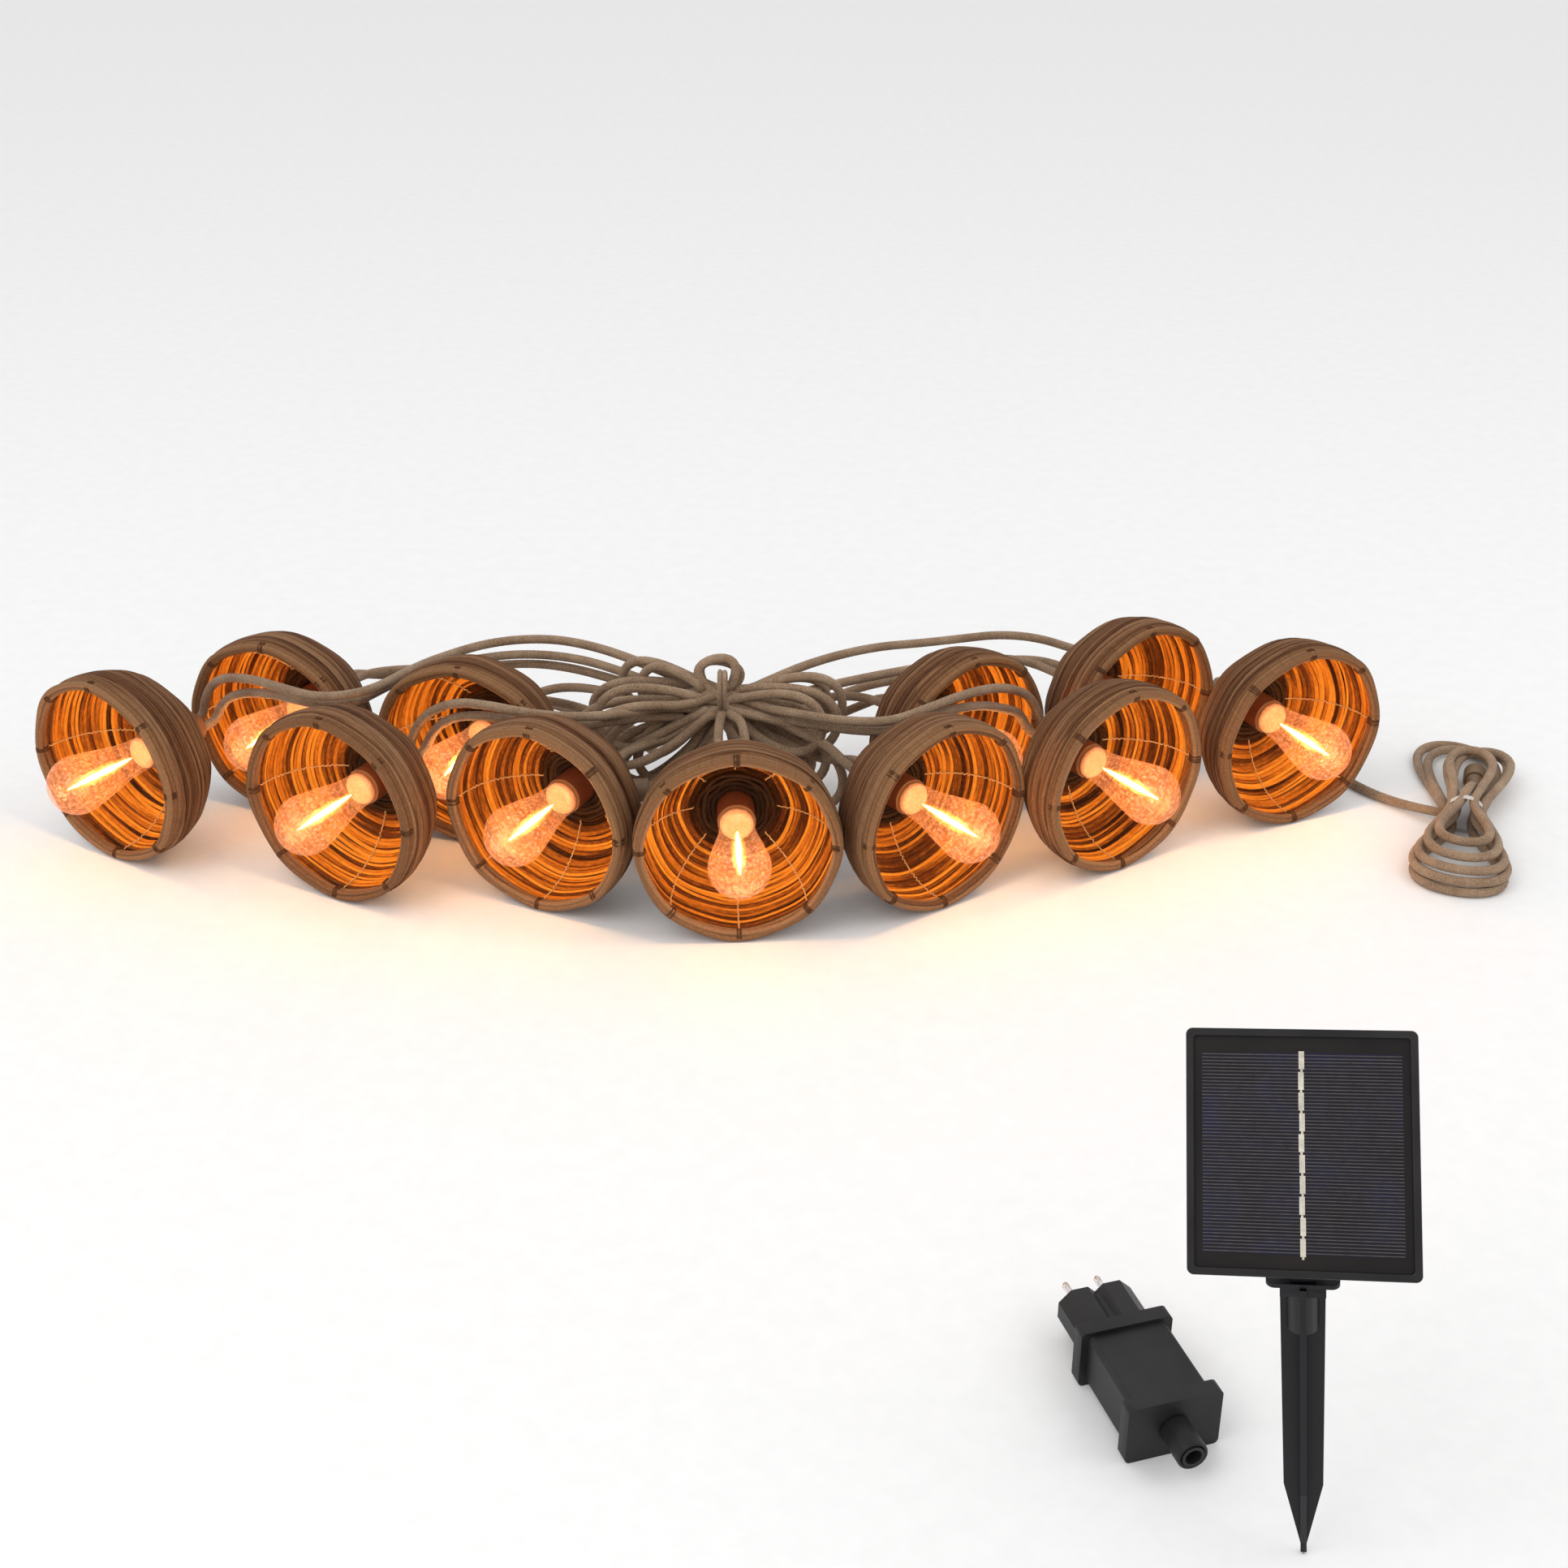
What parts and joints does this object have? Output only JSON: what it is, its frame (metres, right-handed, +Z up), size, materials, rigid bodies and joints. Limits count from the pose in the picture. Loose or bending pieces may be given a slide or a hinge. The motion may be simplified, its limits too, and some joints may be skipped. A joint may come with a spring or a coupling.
{
  "type": "solar string lights",
  "caption": "Garden string of woven dome lamps with screw bulbs on rope-covered cord, spare cord bundled, with solar panel on a stake and plug-in adapter.",
  "frame": {"origin": "on the floor, under the middle of the set without its cords", "axes": "+Z up, the lamps open towards -Y, +X to the right along the row of lamps"},
  "size_m": [1.1799, 0.9518, 0.2873],
  "materials": {
    "woven_shade": "woven paper rope, grey-brown outside and lit amber inside",
    "woven_trim": "wrapped grey-brown rope",
    "socket": "satin",
    "bulb_glass": "clear with fine bubbles",
    "rope": "beige braided rope cover",
    "tie": "soft white band",
    "connector": "satin tan",
    "stake_plastic": "black moulded",
    "steel": "plain",
    "panel_plastic": "black satin gloss",
    "solar_cells": "dark cells under clear resin",
    "battery": "green sleeve",
    "circuit_board": "green board",
    "button": "soft",
    "adapter_plastic": "black fine texture",
    "transformer": "taped",
    "pin_metal": "plated"
  },
  "bodies": {
    "root": {"shade_01": "woven_shade", "shade_02": "woven_shade", "shade_03": "woven_shade", "shade_04": "woven_shade", "shade_05": "woven_shade", "shade_06": "woven_shade", "shade_07": "woven_shade", "shade_08": "woven_shade", "shade_09": "woven_shade", "shade_10": "woven_shade", "shade_11": "woven_shade", "shade_hoops": "woven_trim", "lamp_sockets": "socket", "cord_01": "rope", "cord_02": "rope", "cord_03": "rope", "cord_04": "rope", "cord_05": "rope", "cord_06": "rope", "cord_07": "rope", "cord_08": "rope", "cord_09": "rope", "cord_10": "rope", "tail_cord": "rope", "lead_cord": "rope", "string_bundle": "rope", "lead_hank": "rope", "cord_ties": "tie", "cord_connectors": "connector", "ground_stake": "stake_plastic", "adapter_case": "adapter_plastic", "adapter_end_plate": "adapter_plastic", "adapter_transformer": "transformer", "adapter_pins": "pin_metal"},
    "bracket": {"tilt_bracket": "stake_plastic", "hinge_bolt": "steel"},
    "panel": {"panel_tray": "panel_plastic", "panel_bezel": "panel_plastic", "solar_plate": "solar_cells", "battery_cell": "battery", "circuit_board": "circuit_board", "charge_inlet": "panel_plastic", "case_screws": "steel"},
    "knob": {"tilt_knob": "stake_plastic"},
    "power_button": {"power_button": "button"},
    "mode_button": {"mode_button": "button"},
    "outlet_nut": {"outlet_nut": "adapter_plastic"},
    "lead_plug_nut": {"lead_plug_nut": "connector"},
    "tail_cap": {"tail_cap": "connector"},
    "bulb_01": {"bulb_01": "bulb_glass"},
    "bulb_02": {"bulb_02": "bulb_glass"},
    "bulb_03": {"bulb_03": "bulb_glass"},
    "bulb_04": {"bulb_04": "bulb_glass"},
    "bulb_05": {"bulb_05": "bulb_glass"},
    "bulb_06": {"bulb_06": "bulb_glass"},
    "bulb_07": {"bulb_07": "bulb_glass"},
    "bulb_08": {"bulb_08": "bulb_glass"},
    "bulb_09": {"bulb_09": "bulb_glass"},
    "bulb_10": {"bulb_10": "bulb_glass"},
    "bulb_11": {"bulb_11": "bulb_glass"}
  },
  "joints": [
    {"name": "bulb_01_turn", "type": "hinge", "parent": "root", "child": "bulb_01", "pos_m": [0.46, 0.319, 0.075], "axis": [0.4226, -0.9063, 0], "range_deg": [0, 1080]},
    {"name": "bulb_02_turn", "type": "hinge", "parent": "root", "child": "bulb_02", "pos_m": [0.344, 0.363, 0.075], "axis": [0.5736, -0.8192, 0], "range_deg": [0, 1080]},
    {"name": "bulb_03_turn", "type": "hinge", "parent": "root", "child": "bulb_03", "pos_m": [0.314, 0.245, 0.075], "axis": [0.5592, -0.829, 0], "range_deg": [0, 1080]},
    {"name": "bulb_04_turn", "type": "hinge", "parent": "root", "child": "bulb_04", "pos_m": [0.202, 0.305, 0.075], "axis": [0.6018, -0.7986, 0], "range_deg": [0, 1080]},
    {"name": "bulb_05_turn", "type": "hinge", "parent": "root", "child": "bulb_05", "pos_m": [0.175, 0.187, 0.075], "axis": [0.5878, -0.809, 0], "range_deg": [0, 1080]},
    {"name": "bulb_06_turn", "type": "hinge", "parent": "root", "child": "bulb_06", "pos_m": [0.023, 0.14, 0.075], "axis": [0.0523, -0.9986, 0], "range_deg": [0, 1080]},
    {"name": "bulb_07_turn", "type": "hinge", "parent": "root", "child": "bulb_07", "pos_m": [-0.128, 0.184, 0.075], "axis": [-0.4384, -0.8988, 0], "range_deg": [0, 1080]},
    {"name": "bulb_08_turn", "type": "hinge", "parent": "root", "child": "bulb_08", "pos_m": [-0.192, 0.287, 0.075], "axis": [-0.2924, -0.9563, 0], "range_deg": [0, 1080]},
    {"name": "bulb_09_turn", "type": "hinge", "parent": "root", "child": "bulb_09", "pos_m": [-0.28, 0.2, 0.075], "axis": [-0.4695, -0.8829, 0], "range_deg": [0, 1080]},
    {"name": "bulb_10_turn", "type": "hinge", "parent": "root", "child": "bulb_10", "pos_m": [-0.348, 0.332, 0.075], "axis": [-0.3907, -0.9205, 0], "range_deg": [0, 1080]},
    {"name": "bulb_11_turn", "type": "hinge", "parent": "root", "child": "bulb_11", "pos_m": [-0.461, 0.261, 0.075], "axis": [-0.5446, -0.8387, 0], "range_deg": [0, 1080]},
    {"name": "bracket_lift", "type": "slide", "parent": "root", "child": "bracket", "axis": [-0.1077, 0.0209, 0.994], "range_m": [0, 0.022]},
    {"name": "panel_tilt", "type": "hinge", "parent": "bracket", "child": "panel", "pos_m": [0.2898, -0.42307, 0.18657], "axis": [0.9757, -0.1897, 0.1097], "range_deg": [-50, 35]},
    {"name": "tilt_knob_turn", "type": "hinge", "parent": "bracket", "child": "knob", "pos_m": [0.2898, -0.42307, 0.18657], "axis": [0.9757, -0.1897, 0.1097], "continuous": true},
    {"name": "power_button_press", "type": "slide", "parent": "panel", "child": "power_button", "axis": [-0.2177, -0.7818, 0.5842], "range_m": [0, 0.0012], "stiffness_N_per_m": 300},
    {"name": "mode_button_press", "type": "slide", "parent": "panel", "child": "mode_button", "axis": [-0.2177, -0.7818, 0.5842], "range_m": [0, 0.0012], "stiffness_N_per_m": 300},
    {"name": "outlet_nut_turn", "type": "hinge", "parent": "root", "child": "outlet_nut", "pos_m": [0.262, -0.382, 0.018], "axis": [-0.2924, 0.9563, 0], "continuous": true},
    {"name": "lead_plug_nut_turn", "type": "hinge", "parent": "root", "child": "lead_plug_nut", "pos_m": [0.61326, 0.36047, 0.0092], "axis": [0.3024, 0.9532, 0], "continuous": true},
    {"name": "tail_cap_turn", "type": "hinge", "parent": "root", "child": "tail_cap", "pos_m": [-0.028, 0.263, 0.06], "axis": [-1, 0, 0], "continuous": true}
  ]
}
